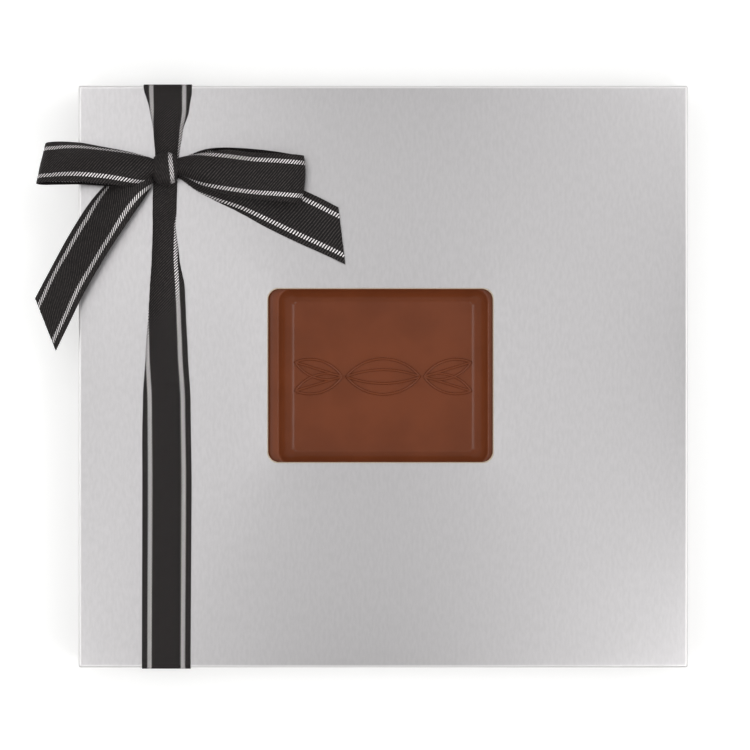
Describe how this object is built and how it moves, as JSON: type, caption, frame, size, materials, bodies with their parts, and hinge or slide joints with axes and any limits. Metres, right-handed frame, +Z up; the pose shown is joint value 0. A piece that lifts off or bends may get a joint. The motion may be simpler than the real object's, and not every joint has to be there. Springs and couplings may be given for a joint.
{
  "type": "chocolate box",
  "caption": "Flat square-ish gift carton of chocolates: lift-off silver lid with a window over a moulded chocolate plaque, striped black ribbon and bow, sweets in a formed tray.",
  "frame": {"origin": "centre of the base's underside", "axes": "+X along the carton's longer side, to the right as the lid is read; +Y to the top of the lid; +Z up, the way the lid lifts"},
  "size_m": [0.2375, 0.2126, 0.0407],
  "materials": {
    "foil_board": "silver foil laminate, satin",
    "milk_chocolate": "moulded, satin gloss",
    "dark_chocolate": "moulded, satin gloss",
    "white_chocolate": "moulded, satin gloss",
    "formed_tray": "vacuum-formed sheet",
    "cup_paper": "glassine, fluted",
    "ribbon": "twill weave with two metallic stripes",
    "tape": "double-sided tissue tape"
  },
  "bodies": {
    "base": {"base_carton": "foil_board", "tray": "formed_tray", "plaque": "milk_chocolate", "candy_cups": "cup_paper", "ball_truffles": "dark_chocolate", "dome_truffles": "milk_chocolate", "square_pralines": "white_chocolate"},
    "lid": {"lid_carton": "foil_board", "ribbon_band": "ribbon", "ribbon_tapes": "tape", "bow_knot": "ribbon", "bow_loop_left": "ribbon", "bow_loop_right": "ribbon", "bow_tail_left": "ribbon", "bow_tail_right": "ribbon"}
  },
  "joints": [
    {"name": "lid_lift", "type": "slide", "parent": "base", "child": "lid", "axis": [0, 0, 1], "range_m": [0, 0.06]}
  ]
}
